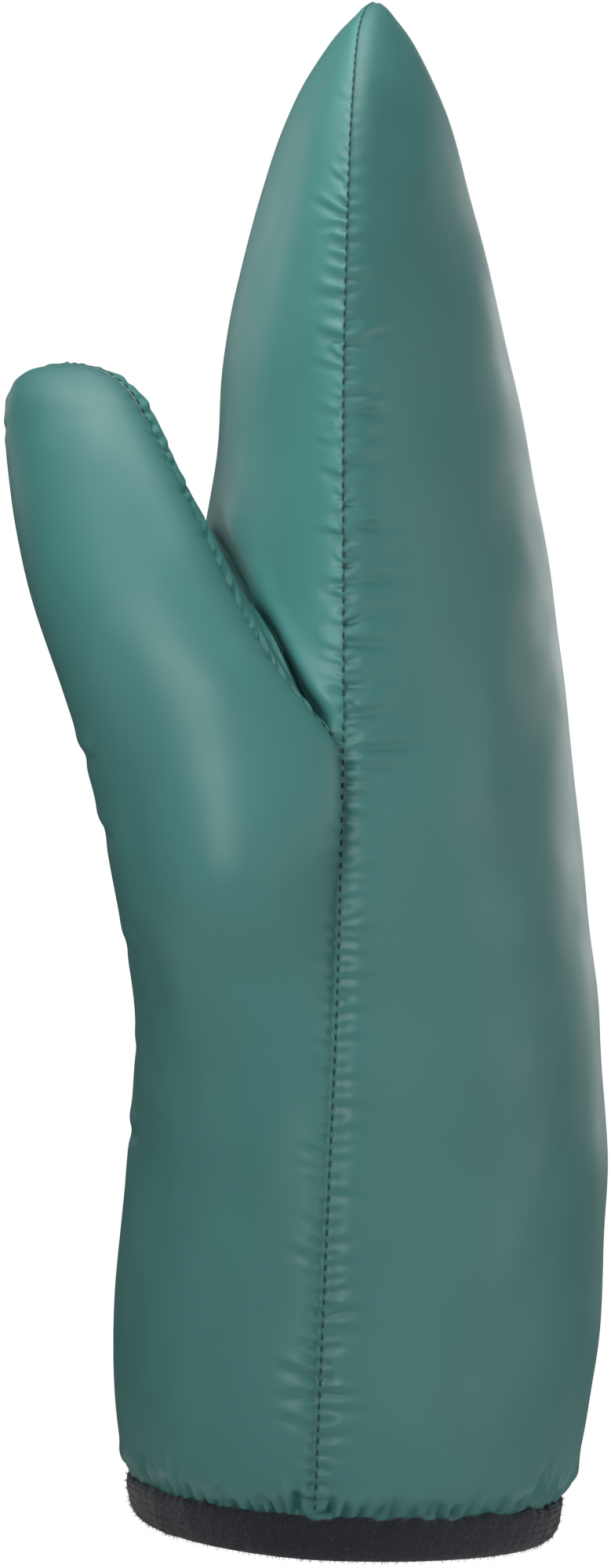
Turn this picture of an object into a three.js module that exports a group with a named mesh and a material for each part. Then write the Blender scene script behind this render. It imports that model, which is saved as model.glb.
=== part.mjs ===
// Mitten for the right hand, sewn from three padded panels and bound at the cuff.
//
// Millimetres, +Z from the cuff to the fingertips, -X towards the palm, +X towards the back of the
// hand, -Y towards the index finger and thumb, +Y towards the little finger. The origin is the centre
// of the cuff's opening, where the hand goes in.
//
// Every panel is a padded wall between two seams, carried over a crown line between them. The hand and
// the thumb are tubes of such sections, and the panels are cut from those tubes along the seams.

import * as THREE from "three";

// Sizes of the hand part
const WEB_HEIGHT = 148; // cuff to the crotch between thumb and fingers
const FINGER_LENGTH = 142.4; // crotch to the fingertip
const HAND_DEPTH = 94.4; // palm to back, at the widest
const HAND_WIDTH = 108; // index side to little finger side, at the widest
const CUFF_SLANT = 3.4; // degrees, the palm side of the cuff is cut higher
const CUFF_SAG = 0.6; // how much lower the cuff's edge hangs at the seams

// Sizes of the thumb, from its root inside the palm to its tip
const THUMB_HEIGHT = 108.6;
const THUMB_REACH = 38.5; // how far the tip stands out to the palm side of the root
const THUMB_SPREAD = 23; // how far the thumb stands out to the index side of its root, at most
const THUMB_BREADTH = 54; // at the root
const THUMB_FLATNESS = 0.94; // thickness over breadth
const THUMB_TWIST = 26; // degrees that the thumb's seams are turned about its length
const THUMB_CREST = { front: 0.78, rear: 0.95 }; // its outer face is flatter towards the front seam
const THUMB_ROOT = { palmward: 14, inFromSide: 34, belowWeb: 36 };

// Padding, seams and binding
const PADDED_WALL = 7;
const SEAM_WALL = 5; // the wall where the stitching holds it down
const RIM_WALL = 2.4; // the wall flattened inside the binding
const TIP_WALL = 12; // hand wall at the fingertip
const THUMB_TIP_WALL = 8;
const SEAM_PUFF = 1.0; // how far the padding stands up beside a seam
const SEAM_ROLL = 2.6; // how far from a seam that rise goes
const SEWN_GAP = 0.3; // between neighbouring panels
const BINDING_HEIGHT = 8;
const BINDING_TAPE = 1.3;
const BINDING_ROUND = 0.9;
const CUFF_PINCH = 1.8; // how far the binding draws the panels in
const PINCH_RISE = 5; // height over which they swell out again

// Where the seams run
const JOIN_HEIGHT = 88; // where the palm's cross seam leaves the little finger side

// Mesh fineness
const ACROSS = 20;
const BACK_ROWS = 30;
const PALM_ROWS = 20;
const THUMB_ROWS = 14;
const VALLEY_COLUMNS = 12;
const CROSS_COLUMNS = 10;
const WRIST_ROWS = 5;
const BINDING_SEGMENTS = 28;

const LENGTH = WEB_HEIGHT + FINGER_LENGTH;
const SIDE_MOST = HAND_WIDTH / 2;
const RIGHT_ANGLE = Math.PI / 2;
const radians = THREE.MathUtils.degToRad;
const smooth = THREE.MathUtils.smoothstep;
const point = (x, y, z) => new THREE.Vector3(x, y, z);

// The hand's sections. up is a share of WEB_HEIGHT below the crotch and, past 1, of FINGER_LENGTH above
// it. back, palm and seam are shares of HAND_DEPTH from the axis, side and middle of half HAND_WIDTH.
// crest is 1 for an oval section and more for one that comes to an edge at the seams.
const HAND_SECTIONS = [
  { up: 0.0, back: 0.418, palm: -0.43, seam: -0.068, side: 0.93, middle: 0, crest: 1.05 },
  { up: 0.07, back: 0.452, palm: -0.452, seam: -0.065, side: 0.95, middle: 0, crest: 1.05 },
  { up: 0.17, back: 0.486, palm: -0.468, seam: -0.059, side: 0.955, middle: 0, crest: 1.05 },
  { up: 0.3, back: 0.514, palm: -0.474, seam: -0.05, side: 0.93, middle: 0, crest: 1.08 },
  { up: 0.47, back: 0.526, palm: -0.447, seam: -0.038, side: 0.905, middle: 0, crest: 1.1 },
  { up: 0.64, back: 0.515, palm: -0.42, seam: -0.026, side: 0.91, middle: 0, crest: 1.12 },
  { up: 0.82, back: 0.484, palm: -0.395, seam: -0.017, side: 0.95, middle: 0, crest: 1.2 },
  { up: 1.0, back: 0.45, palm: -0.36, seam: -0.011, side: 0.985, middle: 0, crest: 1.45 },
  { up: 1.19, back: 0.413, palm: -0.31, seam: -0.011, side: 1.0, middle: 0, crest: 1.7 },
  { up: 1.37, back: 0.369, palm: -0.266, seam: -0.012, side: 0.99, middle: 0, crest: 1.8 },
  { up: 1.52, back: 0.326, palm: -0.25, seam: -0.01, side: 0.95, middle: -0.01, crest: 1.85 },
  { up: 1.66, back: 0.274, palm: -0.212, seam: -0.004, side: 0.865, middle: -0.02, crest: 1.85 },
  { up: 1.78, back: 0.229, palm: -0.163, seam: 0.002, side: 0.745, middle: -0.03, crest: 1.8 },
  { up: 1.87, back: 0.187, palm: -0.11, seam: 0.01, side: 0.6, middle: -0.04, crest: 1.65 },
  { up: 1.94, back: 0.142, palm: -0.043, seam: 0.02, side: 0.435, middle: -0.045, crest: 1.45 },
  { up: 1.978, back: 0.105, palm: 0.014, seam: 0.034, side: 0.285, middle: -0.05, crest: 1.25 },
  { up: 1.996, back: 0.076, palm: 0.044, seam: 0.05, side: 0.13, middle: -0.05, crest: 1.1 },
  { up: 2.0, back: 0.06, palm: 0.06, seam: 0.06, side: 0, middle: -0.05, crest: 1 },
];

// The thumb's sections, level ovals. up, out and aside are shares of THUMB_HEIGHT, THUMB_REACH and
// THUMB_SPREAD from the root, breadth of THUMB_BREADTH.
const THUMB_SECTIONS = [
  { up: 0.0, out: 0.0, aside: 0.0, breadth: 1.0 },
  { up: 0.193, out: 0.188, aside: 0.564, breadth: 0.91 },
  { up: 0.331, out: 0.35, aside: 0.909, breadth: 0.9 },
  { up: 0.442, out: 0.51, aside: 1.0, breadth: 0.815 },
  { up: 0.571, out: 0.652, aside: 0.909, breadth: 0.726 },
  { up: 0.7, out: 0.762, aside: 0.718, breadth: 0.65 },
  { up: 0.81, out: 0.859, aside: 0.518, breadth: 0.574 },
  { up: 0.884, out: 0.915, aside: 0.373, breadth: 0.52 },
  { up: 0.944, out: 0.958, aside: 0.273, breadth: 0.44 },
  { up: 0.983, out: 0.988, aside: 0.209, breadth: 0.27 },
  { up: 1.0, out: 1.0, aside: 0.191, breadth: 0 },
];
const THUMB_FREE = 0.331; // the share of THUMB_HEIGHT at which the thumb stands clear of the palm
const ROOT_FADE = 0.45; // the share of the free thumb over which the web draws it in

// The lower edge of the finger panel, on the hand's palm side. turn is in degrees from the middle of the
// palm, negative to the index side. It follows the valley behind the thumb to VALLEY_END, and from there
// the cross seam. above is a share of FINGER_LENGTH over the crotch, below one of the drop to the join.
const VALLEY_END = 2;
const VALLEY = [
  { turn: -90, above: 0 },
  { turn: -73, above: 0.042 },
  { turn: -60, above: 0.112 },
  { turn: -49, above: 0.162 },
  { turn: -34, above: 0.185 },
  { turn: -20, above: 0.165 },
  { turn: -8, above: 0.09 },
  { turn: VALLEY_END, above: -0.015 },
];
const CROSS_SEAM = [
  { turn: VALLEY_END, below: 0.035 },
  { turn: 20, below: 0.34 },
  { turn: 45, below: 0.66 },
  { turn: 70, below: 0.9 },
  { turn: 90, below: 1 },
];

// The crown of the thumb panel between the cross seam's ends. out is a share of HAND_DEPTH, aside of half
// HAND_WIDTH, and above of the height from the join to the crotch. front and rear are the crests of the
// panel's two halves.
const MOUND_CROWN = [
  { above: 0, out: -0.425, aside: -0.02, front: 1.115, rear: 1.15 },
  { above: 0.25, out: -0.42, aside: -0.38, front: 1.05, rear: 1.4 },
  { above: 0.5, out: -0.43, aside: -0.77, front: 0.92, rear: 1.6 },
  { above: 0.75, out: -0.447, aside: -0.88, front: 0.84, rear: 1.5 },
  { above: 0.975, out: -0.478, aside: -0.88, front: 0.7, rear: 1.3 },
];

// A smooth curve through the rows of a table, for every column at once, with at from 0 to 1.
function readTable(rows, at) {
  const place = THREE.MathUtils.clamp(at, 0, 1) * (rows.length - 1);
  const index = Math.min(Math.floor(place), rows.length - 2);
  const t = place - index;
  const before = rows[Math.max(index - 1, 0)];
  const start = rows[index];
  const end = rows[index + 1];
  const after = rows[Math.min(index + 2, rows.length - 1)];
  const read = {};
  for (const key of Object.keys(start)) {
    const slopeIn = (end[key] - before[key]) / 2;
    const slopeOut = (after[key] - start[key]) / 2;
    const rise = end[key] - start[key];
    const square = 3 * rise - 2 * slopeIn - slopeOut;
    const cube = slopeIn + slopeOut - 2 * rise;
    read[key] = start[key] + slopeIn * t + square * t * t + cube * t * t * t;
  }
  return read;
}

// The place in a table at which a rising column reaches a value.
function placeOf(rows, value, key) {
  let low = 0;
  let high = 1;
  for (let i = 0; i < 40; i++) {
    const middle = (low + high) / 2;
    if (readTable(rows, middle)[key] < value) {
      low = middle;
    } else {
      high = middle;
    }
  }
  return (low + high) / 2;
}

// Heights as the hand's table states them
const upOf = (height) =>
  height < WEB_HEIGHT ? height / WEB_HEIGHT : 1 + (height - WEB_HEIGHT) / FINGER_LENGTH;
const heightOf = (up) => Math.min(up, 1) * WEB_HEIGHT + Math.max(up - 1, 0) * FINGER_LENGTH;
const handPlace = (height) => placeOf(HAND_SECTIONS, upOf(height), "up");

// The cuff's edge is slanted and hangs lower at the seams, and both die out above it.
function slanted(p) {
  const fade = 1 - smooth(p.z, 0, JOIN_HEIGHT);
  const sag = CUFF_SAG * (1 - (p.x / (HAND_DEPTH / 2)) ** 2);
  p.z -= (p.x * Math.tan(radians(CUFF_SLANT)) + sag) * fade;
  return p;
}

// One section: from the front seam over the crown to the rear seam, with angle from -90 to 90 degrees in
// radians. The padding rises beside both seams. crest is for the front half and rearCrest for the rear.
function sectionPoint(section, angle) {
  const { front, crown, rear, crest, rearCrest = crest, puff = 1 } = section;
  const middle = front.clone().add(rear).multiplyScalar(0.5);
  const reach = crown.clone().sub(middle);
  const half = rear.clone().sub(front).multiplyScalar(0.5);
  const wide = half.length();
  const rise = Math.max(Math.cos(angle), 0) ** (angle < 0 ? crest : rearCrest);
  const away = (reach.length() * rise) / SEAM_ROLL;
  const swell = (1 - Math.exp(-away * away)) * SEAM_PUFF * puff;
  const stretch = 1 + swell / (wide + SEAM_ROLL);
  return middle.addScaledVector(reach, rise).addScaledVector(half, Math.sin(angle) * stretch);
}

// The hand's section at a place in its table. inner is true for the lining side of the wall.
function handSection(at, crownSide, inner) {
  const row = readTable(HAND_SECTIONS, at);
  const shrink = inner ? 1 - TIP_WALL / LENGTH : 1;
  const height = heightOf(row.up) * shrink;
  const swollen = smooth(height, BINDING_HEIGHT, BINDING_HEIGHT + PINCH_RISE);
  const pinch = CUFF_PINCH * (1 - swollen);
  const padded = smooth(height, BINDING_HEIGHT, 3 * BINDING_HEIGHT);
  const wall = inner ? RIM_WALL + (PADDED_WALL - RIM_WALL) * padded : 0;
  const seamWall = inner ? RIM_WALL + (SEAM_WALL - RIM_WALL) * padded : 0;
  const narrower = 1 - (pinch + seamWall) / SIDE_MOST;
  const shallower = 1 - (pinch + wall) / (HAND_DEPTH / 2);
  const seamX = row.seam * HAND_DEPTH;
  const crownX = seamX + (row[crownSide] - row.seam) * HAND_DEPTH * shallower;
  const side = Math.max(row.side, 0) * SIDE_MOST * narrower;
  const middle = row.middle * SIDE_MOST;
  return {
    front: slanted(point(seamX, middle - side, height)),
    crown: slanted(point(crownX, middle, height)),
    rear: slanted(point(seamX, middle + side, height)),
    crest: row.crest,
    puff: inner ? 0 : swollen,
  };
}

const handPoint = (at, angle, crownSide, inner) =>
  sectionPoint(handSection(at, crownSide, inner), angle);

// The thumb's section at a place in its table: seams at both ends of its breadth, crowns between them.
function thumbSection(at, inner) {
  const shrink = inner ? 1 - THUMB_TIP_WALL / THUMB_HEIGHT : 1;
  const row = readTable(THUMB_SECTIONS, at);
  const half = (Math.max(row.breadth, 0) * THUMB_BREADTH) / 2;
  const lessSeam = inner ? 1 - (2 * SEAM_WALL) / THUMB_BREADTH : 1;
  const lessWall = inner ? 1 - (2 * PADDED_WALL) / THUMB_BREADTH : 1;
  const twist = radians(THUMB_TWIST);
  const along = point(-Math.cos(twist), Math.sin(twist), 0).multiplyScalar(half * lessSeam);
  const outward = point(-Math.sin(twist), -Math.cos(twist), 0);
  outward.multiplyScalar(half * THUMB_FLATNESS * lessWall);
  const axis = point(
    -THUMB_ROOT.palmward - row.out * THUMB_REACH,
    THUMB_ROOT.inFromSide - SIDE_MOST - row.aside * THUMB_SPREAD,
    WEB_HEIGHT - THUMB_ROOT.belowWeb + row.up * THUMB_HEIGHT * shrink,
  );
  return {
    front: axis.clone().sub(along),
    rear: axis.clone().add(along),
    outer: axis.clone().add(outward),
    inner: axis.clone().sub(outward),
    puff: inner ? 0 : 1,
  };
}

// The finger panel's lower edge on the palm side of the hand: the valley, then the cross seam.
function edgePlace(row) {
  if (row.above !== undefined) return handPlace(WEB_HEIGHT + row.above * FINGER_LENGTH);
  return handPlace(WEB_HEIGHT - row.below * (WEB_HEIGHT - JOIN_HEIGHT));
}
const valleyEdge = (at) => readTable(VALLEY, at);
const crossEdge = (at) => readTable(CROSS_SEAM, at);
const edgePoint = (row, inner) =>
  handPoint(edgePlace(row), radians(row.turn), "palm", inner);

const THUMB_START = placeOf(THUMB_SECTIONS, THUMB_FREE, "up");
const LAST_CROWN = MOUND_CROWN[MOUND_CROWN.length - 1];

// How much of the way back to the web the thumb's surface is drawn, from 1 at the web to 0.
const rootFade = (along) => Math.max(1 - along / ROOT_FADE, 0) ** 2;

// The thumb's palm-facing half. Each column starts on the valley and runs to the tip.
function thumbColumnStart(foot) {
  const rootHeight = WEB_HEIGHT - THUMB_ROOT.belowWeb;
  const up = (foot.z - rootHeight) / THUMB_HEIGHT;
  return placeOf(THUMB_SECTIONS, up, "up");
}
function thumbInnerPoint(column, along, inner) {
  const turn = (2 * column - 1) * RIGHT_ANGLE;
  const foot = edgePoint(valleyEdge(column), inner);
  const start = thumbColumnStart(edgePoint(valleyEdge(column), false));
  const onThumb = (at) => {
    const s = thumbSection(at, inner);
    return sectionPoint({ ...s, crown: s.inner, crest: 1 }, turn);
  };
  const drawn = foot.sub(onThumb(start)).multiplyScalar(rootFade(along));
  return onThumb(start + (1 - start) * along).add(drawn);
}

// The crown of the thumb's outward-facing half.
function thumbOuterCrown(along, inner) {
  const start = thumbSection(THUMB_START, inner).outer;
  const drawn = moundCrown(LAST_CROWN, inner).sub(start).multiplyScalar(rootFade(along));
  return thumbSection(THUMB_START + (1 - THUMB_START) * along, inner).outer.add(drawn);
}
function moundCrown(row, inner) {
  const wall = inner ? PADDED_WALL : 0;
  const depth = row.out * HAND_DEPTH + wall * (1 + row.aside * 0.5);
  const aside = row.aside * SIDE_MOST - wall * row.aside;
  return point(depth, aside, JOIN_HEIGHT + row.above * (WEB_HEIGHT - JOIN_HEIGHT));
}

// A sheet is a list of corner loops over numbered points, each point known on both sides of the wall.
class Sheet {
  constructor() {
    this.outer = [];
    this.inner = [];
    this.faces = [];
  }
  add(place) {
    this.outer.push(place(false));
    this.inner.push(place(true));
    return this.outer.length - 1;
  }
  // Joins two rows of point numbers. A row that has shrunk to one point holds its number throughout.
  strip(low, high) {
    for (let i = 0; i + 1 < low.length; i++) {
      const loop = [low[i], low[i + 1], high[i + 1], high[i]];
      const corners = loop.filter((n, k) => n !== loop[(k + 1) % 4]);
      if (corners.length > 2) this.faces.push(corners);
    }
  }
}

// Steps round a section, closer together beside the seams.
function acrossAngle(share) {
  const u = 2 * share - 1;
  return RIGHT_ANGLE * (0.5 * u + 0.5 * Math.sin(u * RIGHT_ANGLE));
}
const steps = (count) => Array.from({ length: count + 1 }, (_, i) => i / count);

// The cuff's first rows stand close together, where the panels come out of the binding.
function cuffPlaces() {
  const foot = BINDING_TAPE + SEWN_GAP;
  const swell = [0.15, 0.4, 0.65, 1, 1.9].map((n) => BINDING_HEIGHT + n * PINCH_RISE);
  return [foot, BINDING_HEIGHT / 2, BINDING_HEIGHT, ...swell].map(handPlace);
}

function backSheet() {
  const sheet = new Sheet();
  const cuff = cuffPlaces();
  const last = cuff[cuff.length - 1];
  const places = [...cuff, ...steps(BACK_ROWS).slice(1).map((n) => last + (1 - last) * n)];
  let below = null;
  for (const at of places) {
    const tip = at === 1;
    const crown = (inner) => handSection(at, "back", inner).crown;
    const top = tip ? sheet.add(crown) : null;
    const row = steps(ACROSS).map((share) =>
      tip ? top : sheet.add((inner) => handPoint(at, acrossAngle(share), "back", inner)),
    );
    if (below) sheet.strip(below, row);
    below = row;
  }
  return sheet;
}

// The panel over the fingers and the thumb's inner half. They share the valley behind the thumb.
function fingerSheet() {
  const sheet = new Sheet();
  const valley = steps(VALLEY_COLUMNS).map(valleyEdge);
  const cross = steps(CROSS_COLUMNS).slice(1).map(crossEdge);
  const edge = [...valley, ...cross];
  const foot = edge.map((row) => sheet.add((inner) => edgePoint(row, inner)));

  let below = foot;
  for (const rise of steps(PALM_ROWS).slice(1)) {
    const tip = rise === 1;
    const top = tip ? sheet.add((inner) => handSection(1, "palm", inner).crown) : null;
    const row = edge.map((start) => {
      if (tip) return top;
      const from = edgePlace(start);
      const at = from + (1 - from) * rise;
      return sheet.add((inner) => handPoint(at, radians(start.turn), "palm", inner));
    });
    sheet.strip(below, row);
    below = row;
  }

  below = foot.slice(0, VALLEY_COLUMNS + 1);
  for (const along of steps(THUMB_ROWS).slice(1)) {
    const tip = along === 1;
    const top = tip ? sheet.add((inner) => thumbSection(1, inner).outer) : null;
    const row = steps(VALLEY_COLUMNS).map((column) =>
      tip ? top : sheet.add((inner) => thumbInnerPoint(column, along, inner)),
    );
    sheet.strip(row, below);
    below = row;
  }
  return sheet;
}

// The panel over the wrist, the heel of the palm and the thumb's outer half, row by row from the cuff.
function thumbPanelSection(row, inner) {
  if (row.wrist !== undefined) return handSection(row.wrist, "palm", inner);
  if (row.mound !== undefined) {
    const crown = readTable(MOUND_CROWN, row.mound);
    const height = JOIN_HEIGHT + (WEB_HEIGHT - JOIN_HEIGHT) * row.mound;
    const side = handSection(handPlace(height), "palm", inner);
    return {
      ...side,
      crown: moundCrown(crown, inner),
      rear: edgePoint(crossEdge(1 - row.mound), inner),
      crest: crown.front,
      rearCrest: crown.rear,
    };
  }
  const fade = rootFade(row.thumb);
  return {
    front: thumbInnerPoint(0, row.thumb, inner),
    crown: thumbOuterCrown(row.thumb, inner),
    rear: thumbInnerPoint(1, row.thumb, inner),
    crest: THUMB_CREST.front + (LAST_CROWN.front - THUMB_CREST.front) * fade,
    rearCrest: THUMB_CREST.rear + (LAST_CROWN.rear - THUMB_CREST.rear) * fade,
    puff: inner ? 0 : 1,
  };
}

function thumbSheet() {
  const sheet = new Sheet();
  const cuff = cuffPlaces();
  const last = cuff[cuff.length - 1];
  const join = handPlace(JOIN_HEIGHT);
  const rows = [
    ...[...cuff, ...steps(WRIST_ROWS).slice(1).map((n) => last + (join - last) * n)].map(
      (wrist) => ({ wrist }),
    ),
    ...steps(CROSS_COLUMNS).slice(1).map((mound) => ({ mound })),
    ...steps(THUMB_ROWS).slice(1).map((thumb) => ({ thumb })),
  ];
  let below = null;
  for (const rowPlace of rows) {
    const tip = rowPlace.thumb === 1;
    const top = tip ? sheet.add((inner) => thumbSection(1, inner).outer) : null;
    const row = steps(ACROSS).map((share) =>
      tip
        ? top
        : sheet.add((inner) =>
            sectionPoint(thumbPanelSection(rowPlace, inner), acrossAngle(share)),
          ),
    );
    if (below) sheet.strip(below, row);
    below = row;
  }
  return sheet;
}

// The edges that only one face has, each as [from, to] in that face's direction.
function openEdges(faces) {
  const seen = new Map();
  for (const face of faces) {
    face.forEach((from, k) => {
      const to = face[(k + 1) % face.length];
      seen.set(`${from}>${to}`, [from, to]);
    });
  }
  return [...seen.values()].filter(([from, to]) => !seen.has(`${to}>${from}`));
}

// Draws a sheet's edge points in by half the gap that neighbouring panels keep.
function trimEdges(points, faces, edges) {
  const next = new Map(edges);
  const previous = new Map(edges.map(([from, to]) => [to, from]));
  const towards = new Map([...next.keys()].map((n) => [n, point(0, 0, 0)]));
  for (const face of faces) {
    const centre = face.reduce((sum, n) => sum.add(points[n]), point(0, 0, 0));
    centre.divideScalar(face.length);
    for (const n of face) {
      if (towards.has(n)) towards.get(n).add(centre.clone().sub(points[n]));
    }
  }
  const moved = points.map((p) => p.clone());
  for (const [n, inward] of towards) {
    const along = points[next.get(n)].clone().sub(points[previous.get(n)]).normalize();
    inward.addScaledVector(along, -inward.dot(along)).normalize();
    moved[n].addScaledVector(inward, SEWN_GAP / 2);
  }
  return moved;
}

// Makes the padded wall between a sheet's two sides, closed round its edges.
function wallGeometry(sheet) {
  const edges = openEdges(sheet.faces);
  const outer = trimEdges(sheet.outer, sheet.faces, edges);
  const inner = trimEdges(sheet.inner, sheet.faces, edges);
  const positions = [];
  const face = (loop) => {
    for (let i = 1; i + 1 < loop.length; i++) {
      for (const p of [loop[0], loop[i], loop[i + 1]]) positions.push(p.x, p.y, p.z);
    }
  };
  for (const loop of sheet.faces) {
    face(loop.map((n) => outer[n]));
    face(loop.map((n) => inner[n]).reverse());
  }
  for (const [from, to] of edges) face([outer[to], outer[from], inner[from], inner[to]]);
  return outwardGeometry(positions);
}

// Triangles as a geometry whose faces point out, whichever way round they were listed.
function outwardGeometry(positions) {
  let volume = 0;
  for (let i = 0; i < positions.length; i += 9) {
    const [a, b, c] = [0, 3, 6].map((k) => point(...positions.slice(i + k, i + k + 3)));
    volume += a.dot(b.cross(c));
  }
  if (volume < 0) {
    for (let i = 0; i < positions.length; i += 9) {
      const second = positions.slice(i + 3, i + 6);
      const third = positions.slice(i + 6, i + 9);
      positions.splice(i + 3, 6, ...third, ...second);
    }
  }
  const geometry = new THREE.BufferGeometry();
  geometry.setAttribute("position", new THREE.Float32BufferAttribute(positions, 3));
  geometry.computeVertexNormals();
  return geometry;
}

// The knitted tape folded over the cuff's edge, a U that holds the panels' rims.
function bindingGeometry() {
  const ringPoint = (side, turn, height, offset, inner) => {
    const section = handSection(handPlace(height), side, inner);
    const p = sectionPoint(section, turn);
    const q = sectionPoint(section, turn + 0.02 * (turn > 0 ? -1 : 1));
    const along = q.sub(p).setZ(0).normalize();
    const out = point(along.y, -along.x, 0);
    if (out.dot(point(p.x - section.front.x, p.y, 0)) < 0) out.negate();
    return p.addScaledVector(out, offset);
  };
  const top = BINDING_HEIGHT;
  const near = SEWN_GAP;
  const far = SEWN_GAP + BINDING_TAPE;
  const round = BINDING_ROUND;
  // Height over the lowest point, distance out from the panel's face, and which face
  const profile = [
    [top, near, false],
    [top, far - round / 2, false],
    [top - round, far, false],
    [top / 2, far, false],
    [round, far, false],
    [0, far - round, false],
    [0, round - far, true],
    [round, -far, true],
    [top / 2, -far, true],
    [top, -far, true],
    [top, -near, true],
    [top / 2, -near, true],
    [BINDING_TAPE, -near, true],
    [BINDING_TAPE, near, false],
    [top / 2, near, false],
  ];
  const turns = steps(BINDING_SEGMENTS).slice(0, -1);
  const ring = [
    ...turns.map((share) => ["palm", acrossAngle(share)]),
    ...turns.map((share) => ["back", acrossAngle(1 - share)]),
  ];
  const rings = ring.map(([side, turn]) =>
    profile.map(([height, offset, inner]) => ringPoint(side, turn, height, offset, inner)),
  );
  const positions = [];
  rings.forEach((here, i) => {
    const there = rings[(i + 1) % rings.length];
    here.forEach((a, k) => {
      const n = (k + 1) % profile.length;
      for (const p of [a, here[n], there[n], a, there[n], there[k]]) {
        positions.push(p.x, p.y, p.z);
      }
    });
  });
  return outwardGeometry(positions);
}

function fabric(color, roughness) {
  return new THREE.MeshStandardMaterial({ color, roughness, metalness: 0 });
}

function named(name, geometry, material) {
  const mesh = new THREE.Mesh(geometry, material);
  mesh.name = name;
  return mesh;
}

const shell = { color: 0x46736d, roughness: 0.42 };
const mitten = new THREE.Group();
mitten.name = "padded_mitten";
mitten.add(named("back_panel", wallGeometry(backSheet()), fabric(shell.color, shell.roughness)));
mitten.add(named("finger_panel", wallGeometry(fingerSheet()), fabric(shell.color, shell.roughness)));
mitten.add(named("thumb_panel", wallGeometry(thumbSheet()), fabric(shell.color, shell.roughness)));
mitten.add(named("cuff_binding", bindingGeometry(), fabric(0x23262d, 0.95)));

export default mitten;
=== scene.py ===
"""A padded mitten for the right hand: puffy satin nylon panels, stitched along the sides and round the
thumb, with a fuzzy knitted binding at the cuff. Sizes are in millimetres until a mesh is made."""

import math

import bmesh
import bpy
import numpy as np
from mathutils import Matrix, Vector


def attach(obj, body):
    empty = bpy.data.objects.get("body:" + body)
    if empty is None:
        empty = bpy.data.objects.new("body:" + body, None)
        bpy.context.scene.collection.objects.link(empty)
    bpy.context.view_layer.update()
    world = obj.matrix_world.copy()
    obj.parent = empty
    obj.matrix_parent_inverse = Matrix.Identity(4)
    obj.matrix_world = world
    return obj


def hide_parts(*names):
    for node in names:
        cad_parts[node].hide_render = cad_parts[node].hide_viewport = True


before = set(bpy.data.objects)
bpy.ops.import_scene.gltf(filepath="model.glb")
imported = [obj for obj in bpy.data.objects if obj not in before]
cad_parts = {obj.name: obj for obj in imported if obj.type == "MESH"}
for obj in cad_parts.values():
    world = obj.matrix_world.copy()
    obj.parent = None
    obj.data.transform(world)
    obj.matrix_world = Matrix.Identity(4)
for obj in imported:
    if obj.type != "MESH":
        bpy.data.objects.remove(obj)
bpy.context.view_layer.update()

MM = 0.001
SEED = 41

# Sizes of the hand part, as the solids have them
WEB_HEIGHT = 148.0
FINGER_LENGTH = 142.4
HAND_DEPTH = 94.4
HAND_WIDTH = 108.0
CUFF_SLANT = 3.4
CUFF_SAG = 0.6

# Sizes of the thumb, as the solids have them
THUMB_HEIGHT = 108.6
THUMB_REACH = 38.5
THUMB_SPREAD = 23.0
THUMB_BREADTH = 54.0
THUMB_FLATNESS = 0.94
THUMB_TWIST = 26.0
THUMB_FRONT_CREST = 0.78
THUMB_REAR_CREST = 0.95
THUMB_PALMWARD = 14.0
THUMB_IN_FROM_SIDE = 34.0
THUMB_BELOW_WEB = 36.0

# Padding, seams and binding, as the solids have them
PADDED_WALL = 7.0
SEAM_WALL = 5.0
RIM_WALL = 2.4
TIP_WALL = 12.0
THUMB_TIP_WALL = 8.0
SEAM_PUFF = 1.0
SEAM_ROLL = 2.6
BINDING_HEIGHT = 8.0
BINDING_TAPE = 1.3
CUFF_PINCH = 1.8
PINCH_RISE = 5.0
JOIN_HEIGHT = 88.0
THUMB_FREE = 0.331
ROOT_FADE = 0.45

# Finish of the cloth: depths, heights and widths. Waves are rows of length and height.
SEAM_GROOVE = 0.22
SEAM_GROOVE_WIDTH = 0.5
CLOTH_WAVES = ((62, 0.5), (27, 0.22), (12, 0.05))
CUFF_GATHER = 2.4
CUFF_GATHER_SPACING = (1.8, 4.2)
PUCKER_SPACING = (1.5, 3.4)

# The finger panel's fold beside the thumb, and the heights between which it starts and ends
FOLD_DIP = 6.0
FOLD_DIP_WIDTH = 1.3
FOLD_RIDGE = 0.9
FOLD_RIDGE_WIDTH = 2.2
FOLD_RIDGE_PAST_DIP = 5.0
FOLD_START = (151, 158)
FOLD_END = (188, 204)

# The slit between the thumb and the fingers, by distance along it from the seam at the crotch
SLIT_DEPTH = 6.0
SLIT_WIDTH = 2.4
SLIT_START = (3.5, 9)
SLIT_END = (28, 42)

# The swell beside the thumb's front seam, by distance up it from the crotch
THUMB_FULLNESS = 2.0
THUMB_FULLNESS_WIDTH = 6.5
THUMB_FULLNESS_START = (-30, -12)
THUMB_FULLNESS_END = (60, 85)

# Stitches, colours and the tape's nap
STITCH_PITCH = 2.1
STITCH_LENGTH = 1.35
STITCH_RADIUS = 0.2
STEPS_TO_A_STITCH = 8
NYLON = (0.047, 0.176, 0.163)
# Painted light: the finger panel's nylon is made lighter to stand for the light that falls on it from the
# left
FINGER_PAINTED_LIGHT = 1.27  # how much lighter the finger panel is
THREAD = (0.01, 0.04, 0.037)
BINDING_DYE = (0.0065, 0.008, 0.013)
PALE_LOOPS = (0.035, 0.04, 0.055)
LINT = (0.02, 0.024, 0.034)
KNIT_WAVES = ((9, 0.12), (3, 0.07), (1.6, 0.06))
TAPE_EDGE_WAVES = ((11, 0.3), (5, 0.24), (2.4, 0.14))
FIBRES = 5200
LINT_ROWS = 11  # rows of TAPE_SECTION that carry lint
FIBRE_RINGS = ((-0.15, 0.035), (0.5, 0.03), (1, 0.012))  # share of its length and radius

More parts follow.
